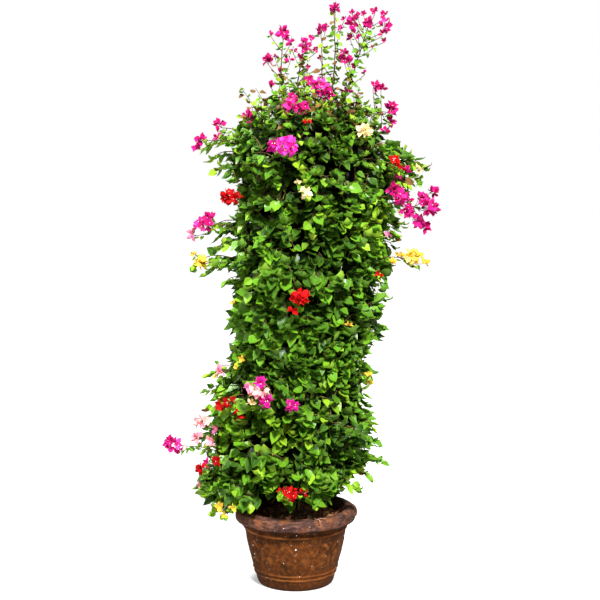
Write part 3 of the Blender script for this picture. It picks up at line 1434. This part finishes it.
def build_soil(draw, shapes):
    floor = POT_FLOOR + SOIL_GAP
    edge = SOIL_TOP - SOIL_BEVEL
    rim = wall_radius(edge) - POT_WALL - SOIL_GAP
    foot = wall_radius(floor) - POT_WALL - SOIL_GAP
    outline = [(foot, floor), (rim, edge), (rim - 0.004, SOIL_TOP - 0.002)]
    for i in range(SOIL_RINGS + 1):
        outline.append((rim - SOIL_BEVEL - (rim - 0.014) * i / SOIL_RINGS, SOIL_TOP))
    soil = turn_up("potting_soil", outline, SOIL_STEPS, "damp soil")
    for vert in soil.data.vertices:
        if vert.co.z > SOIL_TOP - 0.003:
            vert.co.z = soil_height(vert.co.x, vert.co.y)
    place_piece(soil, "soil", "soil")
    litter = Bunch("soil_litter")
    strew_litter(litter, draw, shapes, rim)
    twigs = [(list(map(Vector, points)), first, last) for points, first, last in DRY_TWIGS]
    litter.add_tubes(twigs, "chip", 1)
    litter.finish("soil")


# Trunk


def cane_points(index, count=CANE_POINTS):
    """A cane's centreline, from the root crown round the column's middle to its spray's foot."""
    foot_angle = index * 2 * math.pi / len(SPRAYS)
    top = Vector(SPRAYS[index][0])
    points = []
    for i in range(count):
        share = i / (count - 1)
        height = CANE_FOOT_HEIGHT + (top.z - CANE_FOOT_HEIGHT) * share
        ring = outward(foot_angle + CANE_TWIST * share)
        ring *= CANE_FOOT_CIRCLE + CANE_BELLY * math.sin(math.pi * share)
        middle = column_at(height)[0] * min(1.0, share * 3)
        side = Vector((middle + ring.x, ring.y, height))
        goal = Vector((top.x + middle - column_at(top.z)[0], top.y, height))
        knot = CANE_KNOTS * wander(share * 40, index)
        points.append(side.lerp(goal, share**2) + knot)
    return points


def build_trunk(shapes):
    trunk = Bunch("canes_and_crown")
    crown = Matrix.Translation((0, 0, CROWN_HEIGHT)) @ Matrix.Diagonal((*CROWN_HALF_SIZE, 1))
    trunk.add(shapes["crown"], crown)
    lines = [(cane_points(i), *CANE_RADII) for i in range(len(SPRAYS))]
    trunk.add_tubes(lines, "old bark", 3)
    trunk.finish("bark", "woody_trunk")


# Foliage


def clear_of_pot(place):
    """Whether a point of a leaf is off the pot and the soil."""
    reach = math.hypot(place.x, place.y)
    if place.z > POT_HEIGHT + CLEAR_OVER or reach > COLLAR_RADIUS + CLEAR_BESIDE:
        return True
    return reach < MOUTH_RADIUS - CLEAR_INSIDE and place.z > SOIL_TOP + CLEAR_SOIL


def in_hollow(place):
    return any((place - Vector(middle)).length < radius for middle, radius in HOLLOWS)


class Foliage:
    """Everything that grows: its draws, its shapes and the bunches that it goes into."""

    def __init__(self, draw, shapes):
        self.draw = draw
        self.shapes = shapes
        self.blooms = []
        self.bloom_twigs = []
        self.bunches = {}
        self.spray_twigs = [[] for _ in SPRAYS]
        self.twigs = {}
        for number in range(1, len(STEM_LEVELS) * STEMS_A_LEVEL + 1):
            name = f"leafy_stem_{number:02d}"
            self.bunches[name] = Bunch(f"foliage_{number:02d}")
            self.twigs[name] = []

    def is_free(self, places):
        """Whether the places are off the pot, the soil and the blooms."""
        for place in places:
            if not clear_of_pot(place):
                return False
            if any((place - middle).length < radius for middle, radius in self.blooms):
                return False
        return True

    def add_twig(self, stem, points, kind):
        self.twigs[stem].append((points, *TWIG_RADII[kind]))

    def hang_leaf(self, name, root, side, length, tone, kind, droop):
        """A leaf that leaves its shoot to one side and hangs outwards, its upper side to the light.
        It is left out where it would cross the pot or a bloom."""
        draw = self.draw
        out = outward(azimuth_of(root) if root.z < CROWN_FOOT else draw.uniform(0, 2 * math.pi))
        side = side - out * min(0.0, side.dot(out))
        down = UP * draw.uniform(*LEAF_DOWN) * droop
        direction = (out * draw.uniform(*LEAF_OUT) - down + side * draw.uniform(*LEAF_ASIDE)).normalized()
        facing = out * draw.uniform(*FACING_OUT) + UP * draw.uniform(*FACING_UP) + LIGHTWARD
        facing += shake(draw, FACING_SHAKE)
        reach = length * LEAF_REACH
        middle = root + direction * reach * 0.5
        if kind != "inner leaves" and in_hollow(middle):
            return
        if self.is_free((middle, root + direction * reach)):
            matrix = blade_matrix(root, direction, facing, length)
            self.bunches[name].add(draw.choice(self.shapes[kind]), matrix, clamp(tone))

    def leaves_along(
        self, name, points, tones, every, lengths, bare=0.0, kind="leaves", droop=DROOP, bronze=0.0
    ):
        """Leaves all round a shoot past its bare foot, smaller and paler towards its tip."""
        draw = self.draw
        total = sum((b - a).length for a, b in zip(points, points[1:]))
        at = total * bare + draw.uniform(0, every)
        turn = draw.uniform(0, 2 * math.pi)
        while at < total:
            place, heading = walk(points, at)
            share = at / total
            turn += GOLDEN_ANGLE + draw.uniform(-0.4, 0.4)
            side = heading.orthogonal().normalized()
            side.rotate(Matrix.Rotation(turn, 3, heading))
            length = (lengths[0] + (lengths[1] - lengths[0]) * share) * draw.uniform(0.85, 1.15)
            tone = tones[0] + (tones[1] - tones[0]) * share**2 + draw.uniform(-LEAF_TONES, LEAF_TONES)
            red = draw.random() < bronze * share
            self.hang_leaf(name, place, side, length, tone, "bronze leaves" if red else kind, droop)
            at += every * draw.uniform(0.8, 1.2)


def walk(points, distance):
    """The place and heading that far along a line."""
    for first, second in zip(points, points[1:]):
        length = (second - first).length
        if distance <= length:
            return first.lerp(second, distance / max(length, 1e-9)), (second - first).normalized()
        distance -= length
    return points[-1], (points[-1] - points[-2]).normalized()


def stem_offset(level):
    """How far a level's stems are turned, as a share of a stem's sector."""
    return 0.5 * ((level + 1) % 2)


def stem_at(level, sector):
    return f"leafy_stem_{level * STEMS_A_LEVEL + sector + 1:02d}"


def stem_name(place):
    """The leafy stem whose sector holds a place."""
    level = min(range(len(STEM_LEVELS)), key=lambda i: abs(STEM_LEVELS[i] - place.z))
    turns = azimuth_of(place) / (2 * math.pi) * STEMS_A_LEVEL
    return stem_at(level, round(turns - stem_offset(level)) % STEMS_A_LEVEL)


def foliage_foot(point):
    """How low a shoot may hang at a place."""
    if point.x < TRAILING_SIDE:
        return TRAILING_FOOT
    return FRONT_FOOT if point.y < -FRONT_DEPTH and abs(point.x) < FRONT_HALF else FOLIAGE_FOOT


def grow_shoot(draw, start, heading, length, limit):
    """A shoot that sets out along its heading, arches over under its own weight and stays in the column."""
    points = [start.copy()]
    heading = heading.normalized()
    weight = draw.uniform(*SHOOT_WEIGHT)
    for _ in range(max(3, round(length / SHOOT_STEP))):
        heading = (heading - UP * weight + shake(draw, SHOOT_SHAKE)).normalized()
        point = held_in(points[-1] + heading * SHOOT_STEP, limit)
        if point.z < foliage_foot(point):
            break
        heading = (point - points[-1]).normalized()
        points.append(point)
    return points


def grow_hubs(foliage, name, facing, bottom, top):
    """The twigs from the canes out to the places where a stem's shoots start."""
    draw = foliage.draw
    canes = [point for i in range(len(SPRAYS)) for point in cane_points(i, 24)]
    hubs = []
    for i in range(HUBS_A_STEM):
        azimuth = facing + draw.uniform(-0.9, 0.9) * math.pi / STEMS_A_LEVEL
        height = bottom + (top - bottom) * (i + draw.random()) / HUBS_A_STEM
        hub = column_point(azimuth, height, draw.uniform(*HUB_REACH))
        fork = min(canes, key=lambda p: (p - hub + UP * HUB_CLIMB).length)
        bend = fork.lerp(hub, 0.55) - UP * 0.02 + shake(draw, 0.015)
        foliage.add_twig(name, bow(fork, bend, hub, 7), "hub")
        hubs.append(hub)
    return hubs


def grow_inner_twig(draw, azimuth, height, side):
    """A twig inside the column, for the shaded leaves."""
    start = column_point(azimuth, height, draw.uniform(*INNER_REACH))
    heading = outward(azimuth) * draw.uniform(-0.3, 0.5) + UP * draw.uniform(-0.2, 1.0) + side * 1.5
    return grow_shoot(draw, start, heading, draw.uniform(*INNER_LENGTH), INNER_LIMIT)


def grow_outer_shoot(draw, azimuth, height, side):
    """A shoot that hangs over the others, on a bush that swells and sinks in lumps."""
    lump = 1 + LUMPS * noise.noise(column_point(azimuth, height, 1) * LUMP_SCALE)
    start = column_point(azimuth, height, draw.uniform(*SHOOT_REACH) * lump)
    heading = outward(azimuth) * draw.uniform(0.4, 1.0) + UP * draw.uniform(0.1, 1.1) + side
    limit = draw.uniform(*SHOOT_LIMITS) * lump
    if start.z >= NARROW_FROM:
        limit *= NARROW_LEFT if start.x < 0 else NARROW_RIGHT
    return grow_shoot(draw, start, heading, draw.uniform(*SHOOT_LENGTH), limit)


def dress_inner_twig(foliage, name, points):
    tone = foliage.draw.uniform(0.0, 0.3)
    foliage.leaves_along(name, points, (tone, tone), **LEAVES["inner"])


def dress_outer_shoot(foliage, name, points):
    """Leaves by a shoot's height: larger near the foot, and younger near the top."""
    draw = foliage.draw
    start = points[0]
    young = clamp((start.z - YOUNG_FROM) / YOUNG_OVER)
    tone = SHOOT_TONE + TONE_DRIFT * noise.noise(start * TONE_DRIFT_SCALE)
    tone += draw.uniform(-TONE_CHANCE, TONE_CHANCE)
    tone += PALE_SHOOT * (draw.random() < PALE_SHOOTS) + YOUNG_PALER * young
    tones = (tone, tone + TONE_TO_TIP)
    size = LOW_LEAVES + (HIGH_LEAVES - LOW_LEAVES) * clamp((start.z - LOW_LEAVES_TO) / LEAVES_SHRINK_OVER)
    lengths = [length * size * (1 - YOUNG_SMALLER * young) for length in LEAF_LENGTHS]
    droop = DROOP + (YOUNG_DROOP - DROOP) * young
    bronze = YOUNG_BRONZE * young
    foliage.leaves_along(name, points, tones, LEAF_EVERY * size, lengths, droop=droop, bronze=bronze)


def build_stem(foliage, level, sector):
    """A leafy stem: its twigs from the canes and inside the column, and the shoots that hang over them."""
    draw = foliage.draw
    name = stem_at(level, sector)
    height = STEM_LEVELS[level]
    bottom = FOLIAGE_FOOT if level == 0 else (STEM_LEVELS[level - 1] + height) / 2
    top = FOLIAGE_TOP if level == len(STEM_LEVELS) - 1 else (STEM_LEVELS[level + 1] + height) / 2
    facing = (sector + stem_offset(level)) * 2 * math.pi / STEMS_A_LEVEL
    hubs = grow_hubs(foliage, name, facing, bottom, top)
    for i in range(SHOOTS_A_STEM + INNER_TWIGS):
        inner = i >= SHOOTS_A_STEM
        share = draw.random() if inner else (i + draw.random()) / SHOOTS_A_STEM
        azimuth = facing + draw.uniform(-1, 1) * math.pi / STEMS_A_LEVEL
        side = Vector((math.cos(azimuth), math.sin(azimuth), 0)) * draw.uniform(-0.9, 0.9)
        grow = grow_inner_twig if inner else grow_outer_shoot
        dress = dress_inner_twig if inner else dress_outer_shoot
        points = grow(draw, azimuth, bottom + (top - bottom) * share, side)
        start = points[0]
        hub = min(hubs, key=lambda p: (p - start).length)
        link = arched(hub, start, 0.5, 0, 3, shake(draw, 0.012))
        foliage.add_twig(name, link[:-1] + points, "shoot")
        if len(points) > 1:
            dress(foliage, name, points)


def build_side_shoots(foliage):
    """The longer leafy shoots that stand out of the column."""
    draw = foliage.draw
    for tip in map(Vector, SIDE_SHOOTS):
        low, high = SIDE_FOOT
        start = column_point(azimuth_of(tip), max(low, min(high, tip.z - 0.02)), SIDE_REACH)
        points = arched(start, tip, 0.6, 0.22, 9, shake(draw, 0.06 * (tip - start).length))
        stem = stem_name(start)
        foliage.add_twig(stem, points, "side")
        tone = draw.uniform(0.25, 0.50)
        foliage.leaves_along(stem, points, (tone, tone + 0.40), **LEAVES["side"])


def build_crown_shoots(foliage):
    """The short young shoots over the column's top, round the feet of the long sprays."""
    draw = foliage.draw
    for i in range(CROWN_SHOOTS):
        azimuth = i * GOLDEN_ANGLE
        start = column_point(azimuth, CROWN_START, CROWN_REACH * math.sqrt((i + 0.5) / CROWN_SHOOTS))
        reach = (start - column_point(azimuth, CROWN_START, 0)).length
        heading = UP + outward(azimuth) * draw.uniform(0.0, 0.4) + shake(draw, 0.26)
        shorter = 1 - CROWN_ROUND * (reach / CROWN_HALF_WIDTH) ** 2
        tip = start + heading.normalized() * draw.uniform(*CROWN_LENGTH) * shorter
        points = arched(start, tip, 0.5, 0, 6, shake(draw, 0.01))
        stem = stem_name(start)
        foliage.add_twig(stem, points, "crown")
        tone = draw.uniform(0.35, 0.60)
        foliage.leaves_along(stem, points, (tone, tone + 0.35), **LEAVES["crown"])


# Blooms


def add_trio(bunch, draw, shapes, colour, root, axis, size, tone):
    """Three papery bracts, some with an open flower before them."""
    spin = draw.uniform(0, 2 * math.pi)
    opening = math.radians(draw.uniform(*BRACT_OPENING))
    for k in range(3):
        lean = axis.orthogonal().normalized()
        lean.rotate(Matrix.Rotation(spin + k * 2 * math.pi / 3 + draw.uniform(-0.2, 0.2), 3, axis))
        direction = axis * math.cos(opening) + lean * math.sin(opening)
        inward = axis * math.sin(opening) - lean * math.cos(opening)
        shape = draw.choice(shapes[colour])
        bunch.add(shape, blade_matrix(root, direction, inward, size), clamp(tone + draw.uniform(-0.3, 0.3)))
        if draw.random() < STAR_SHARE:
            tube = (axis + lean * STAR_LEAN).normalized()
            turn = tube.to_track_quat("Z", "Y").to_matrix().to_4x4()
            matrix = Matrix.Translation(root + lean * 0.0015) @ turn @ Matrix.Scale(size / FLOWER_BRACT, 4)
            bunch.add(shapes[f"{colour} flower"], matrix, draw.uniform(0.3, 1.0))


def add_cluster(bunch, draw, shapes, colour, middle, half, facing):
    """A head of bract trios with the given half sides, on short stalks from its foot, which it gives."""
    radius = sum(half) / 3
    count = max(2, round((radius / BRACT_SPACE) ** HEAD_GROWTH))
    foot = middle - facing * radius * HEAD_FOOT
    upright = facing.to_track_quat("Z", "Y")
    on_spray = middle.z > SPRAY_HEIGHT
    base = draw.uniform(*(HEAD_TONES if radius < BIG_HEAD else BIG_HEAD_TONES)) - SPRAY_DARKER * on_spray
    stalks = []
    for i in range(count):
        tilt = math.acos(1 - HEAD_ROUND * (i + 0.5) / count)
        spin = i * GOLDEN_ANGLE + draw.uniform(-0.2, 0.2)
        axis = Vector((math.sin(tilt) * math.cos(spin), math.sin(tilt) * math.sin(spin), math.cos(tilt)))
        axis.rotate(upright)
        axis = (axis + shake(draw, TRIO_SHAKE)).normalized()
        size = min(draw.uniform(*BRACT_LENGTHS), radius * 1.3) * (SPRAY_BRACTS if on_spray else 1)
        reach = draw.uniform(*HEAD_REACH)
        room = [max(0.004, side - size * 0.80) for side in half]
        root = middle + Vector([side * share * reach for side, share in zip(room, axis)])
        stalks.append((bow(foot, foot.lerp(root, 0.5) + axis * 0.002, root, 3), *TWIG_RADII["stalk"]))
        add_trio(bunch, draw, shapes, colour, root, (axis + facing * 0.25).normalized(), size, base)
    bunch.add_tubes(stalks, "young bark")
    return foot


def bloom_facing(middle):
    """The way a bloom faces: up over the column, and otherwise out from it and a little up."""
    if middle.z > SPRAY_HEIGHT:
        return (Vector((middle.x * 0.6, middle.y, 0)) + UP).normalized()
    lift = 1.0 if middle.z > UPWARD_BLOOMS else 0.25
    return (outward(azimuth_of(middle)) + UP * lift).normalized()


def build_blooms(foliage, colours):
    """Every bloom node's finer head and the small blooms. Gives each one's name, foot and middle."""
    entries = []
    for node_name, colour in colours.items():
        low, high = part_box(node_name)
        middle = (low + high) / 2
        usual = SPRAY_FULLNESS if middle.z > SPRAY_HEIGHT else BLOOM_FULLNESS
        finish, fullness = OTHER_BLOOMS.get(node_name, (colour, usual))
        bunch = Bunch("bracts" + node_name[len("bloom") :])
        entries.append((node_name, bunch, finish, middle, (high - low) * 0.5 * fullness))
    small = {}
    for colour, middle, radius in SMALL_BLOOMS:
        bunch = small.setdefault(colour, Bunch(f"small_blooms_{colour}"))
        entries.append(("small", bunch, colour, Vector(middle), Vector((radius,) * 3)))
    feet = []
    for name, bunch, colour, middle, half in entries:
        foot = add_cluster(bunch, foliage.draw, foliage.shapes, colour, middle, half, bloom_facing(middle))
        foliage.blooms.append((middle, sum(half) / 3 * BLOOM_GUARD))
        feet.append((name, foot, middle))
        if name != "small":
            bunch.finish(colours[name], name)
    for colour, bunch in small.items():
        bunch.finish("magenta" if colour == "violet" else colour)
    return feet


def carry_on_spray(foliage, foot, lines):
    """The twig from the nearest long spray up to a bloom's foot."""
    places = [(i, place) for i, line in enumerate(lines) for place in line]
    spray, start = min(places, key=lambda choice: (choice[1] - foot + UP * TWIG_CLIMB).length)
    foliage.spray_twigs[spray].append((arched(start, foot, 0.5, -0.05, 5), *TWIG_RADII["small bloom"]))


def carry_on_column(foliage, foot, middle):
    """The leafy twig from inside the column out to a bloom's foot."""
    azimuth = azimuth_of(middle)
    beyond = (foot - column_point(azimuth, foot.z, 0.9)).length
    low, high = TWIG_FOOT
    start = column_point(azimuth, min(high, max(low, foot.z - 0.03 - 0.35 * beyond)), TWIG_START)
    if middle.z > CROWN_BLOOMS:
        start = column_point(azimuth, CROWN_START, CROWN_TWIG_START)
    points = arched(start, foot, 0.5, 0.10, 10, shake(foliage.draw, 0.03 * (foot - start).length))
    stem = stem_name(start)
    foliage.add_twig(stem, points, "bloom")
    foliage.leaves_along(stem, points, **LEAVES["bloom"])
    foliage.bloom_twigs += [(stem, point) for point in points[4:-1]]


def carry_bloom(foliage, lines, name, foot, middle):
    """What a bloom grows on: a spray, a larger bloom's twig or the column."""
    if name.endswith("_tip"):
        return
    if middle.z > SPRAY_HEIGHT:
        carry_on_spray(foliage, foot, lines)
        return
    near = [(stem, point) for stem, point in foliage.bloom_twigs if (point - foot).length < TWIG_REACH]
    if name != "small" or not near:
        carry_on_column(foliage, foot, middle)
        return
    stem, start = min(near, key=lambda choice: (choice[1] - foot).length)
    points = arched(start, foot, 0.5, -0.1, 5)
    foliage.add_twig(stem, points, "small bloom")
    foliage.leaves_along(stem, points, **LEAVES["small bloom"])


def spray_lines(feet):
    """The centrelines of the long shoots, from inside the column to the foot of the bloom at each tip."""
    tips = {name: foot for name, foot, _ in feet}
    lines = []
    for i, (foot, bend) in enumerate(SPRAYS):
        points = bow(Vector(foot), Vector(bend), tips[f"bloom_spray_{i + 1}_tip"], SPRAY_POINTS)
        for j in range(1, SPRAY_POINTS - 1):
            points[j] = points[j] + SPRAY_WANDER * wander(j * 0.5, i)
        lines.append(points)
    return lines


def build_sprays(foliage, lines):
    """The long shoots over the column, with drooping leaves."""
    for i, points in enumerate(lines):
        name = f"spray_{i + 1}"
        bunch = foliage.bunches[name] = Bunch(f"long_spray_{i + 1}")
        foliage.leaves_along(name, points, **LEAVES["spray"])
        for line, _, _ in foliage.spray_twigs[i]:
            foliage.leaves_along(name, line, **LEAVES["spray twig"])
        bunch.add_tubes([(points, *TWIG_RADII["spray"])], "young bark", 1)
        bunch.add_tubes(foliage.spray_twigs[i], "young bark")
        bunch.finish("leaf", name)


# Everything together


def make_blades(name, finishes, rows, columns, forms, shares, thickness, stalk=0):
    """A blade in each of its forms."""
    blades = []
    for fold, bend, ripple in forms:
        bends = [math.radians(bend * share) for share in shares]
        obj = model_blade(name, rows, columns, math.radians(fold), bends, ripple, thickness, stalk, finishes)
        blades.append(Shape(obj))
    return blades


def make_shapes():
    """All the shapes that are copied, each modelled once."""
    green = ["leaf face", "leaf underside", "young bark"]
    leaves = make_blades("leaf", green, **LEAF)
    shapes = {"leaves": leaves, "inner leaves": make_blades("inner leaf", green, **INNER_LEAF)}
    shapes["bronze leaves"] = [leaf.dressed("bronze leaf", "bronze leaf", "young bark") for leaf in leaves]
    shapes["dry leaves"] = [leaf.dressed("dry leaf", "dry leaf", "chip") for leaf in leaves[1::2]]
    flower = Shape(model_flower("flower"))
    bracts = make_blades("bract", ["magenta bract"] * 3, **BRACT)
    for colour in BRACTS:
        finish = f"{colour} bract"
        shapes[colour] = [bract.dressed(finish, finish, finish) for bract in bracts]
        shapes[f"{colour} flower"] = flower.dressed(finish, "flower")
    crumbs = [model_lump("crumb", "damp soil", size, 0, 3 + i) for i, size in enumerate(CRUMB_SIZES)]
    shapes["crumbs"] = [Shape(crumb) for crumb in crumbs]
    shapes["chips"] = [Shape(model_chip("chip", 5 + i)) for i in range(3)]
    shapes["crown"] = Shape(model_lump("crown", "old bark", (1, 1, 1), 3, 9))
    return shapes


def make_floor_finish():
    """White paper to the camera, with the pot's soft shadow on it, and a duller bounce for the plant."""
    material = bpy.data.materials.new("floor")
    material.use_nodes = True
    tree = material.node_tree
    tree.nodes.clear()
    seen = node(tree, "ShaderNodeLightPath").outputs["Is Camera Ray"]
    place = {0: object_place(tree)}
    distance = node(tree, "ShaderNodeVectorMath", place, operation="LENGTH").outputs["Value"]
    near = spread(tree, distance, *POT_SHADOW, DARKEST_SHADOW, 1.0)
    far = spread(tree, distance, *FLOOR_FADE, FLOOR_GLOW, 1.0)
    glow = times(tree, seen, times(tree, near, far))
    paper = node(tree, "ShaderNodeBsdfDiffuse", {"Color": opaque((0.5, 0.5, 0.5))})
    white = node(tree, "ShaderNodeEmission", {"Color": opaque((1, 1, 1)), "Strength": glow})
    both = node(tree, "ShaderNodeAddShader", {0: paper.outputs[0], 1: white.outputs[0]})
    tree.links.new(both.outputs[0], tree.nodes.new("ShaderNodeOutputMaterial").inputs["Surface"])
    return material


def make_stage():
    """A pale floor under a plain sky, which is dimmer for the plant than for the camera."""
    bpy.ops.mesh.primitive_plane_add(size=FLOOR_SIZE, location=(0, 0, 0))
    floor = bpy.context.active_object
    floor.name = "floor"
    floor.data.materials.append(make_floor_finish())
    world = bpy.data.worlds.new("studio")
    world.use_nodes = True
    tree = world.node_tree
    seen = node(tree, "ShaderNodeLightPath").outputs["Is Camera Ray"]
    strength = spread(tree, seen, 0.0, 1.0, SKY_LIGHT, 1.0)
    plug(tree, tree.nodes["Background"].inputs, {"Color": opaque((1, 1, 1)), "Strength": strength})
    bpy.context.scene.world = world


def add_light(name, place, target, size, power):
    light = bpy.data.lights.new(name, "AREA")
    light.size = size
    light.energy = power
    obj = bpy.data.objects.new(name, light)
    bpy.context.scene.collection.objects.link(obj)
    obj.location = place
    obj.rotation_mode = "QUATERNION"
    obj.rotation_quaternion = (Vector(target) - Vector(place)).to_track_quat("-Z", "Y")


def make_camera():
    data = bpy.data.cameras.new("camera")
    data.lens = CAMERA_LENS
    data.sensor_width = CAMERA_SENSOR
    camera = bpy.data.objects.new("camera", data)
    bpy.context.scene.collection.objects.link(camera)
    camera.location = CAMERA_PLACE
    camera.rotation_euler = (math.pi / 2 - CAMERA_PITCH, 0, 0)
    bpy.context.scene.camera = camera


def build_plant(foliage):
    """Blooms first, then what carries them, and the leafy stems round that."""
    parts = [part for part in frame["record"]["subparts"] if part["node"].startswith("bloom_")]
    colours = {part["node"]: part["material_slot"] for part in parts}
    feet = build_blooms(foliage, colours)
    lines = spray_lines(feet)
    for name, foot, middle in feet:
        carry_bloom(foliage, lines, name, foot, middle)
    build_sprays(foliage, lines)
    build_side_shoots(foliage)
    build_crown_shoots(foliage)
    for level in range(len(STEM_LEVELS)):
        for sector in range(STEMS_A_LEVEL):
            build_stem(foliage, level, sector)
    for name, twigs in foliage.twigs.items():
        bunch = foliage.bunches[name]
        bunch.add_tubes(twigs, "young bark")
        bunch.finish("leaf", name)


def main():
    draw = random.Random(SEED)
    make_finishes()
    shapes = make_shapes()
    build_pot()
    build_soil(draw, shapes)
    build_trunk(shapes)
    build_plant(Foliage(draw, shapes))
    make_stage()
    for light in LIGHTS:
        add_light(*light)
    make_camera()
    bpy.context.scene.view_settings.view_transform = "Standard"


main()
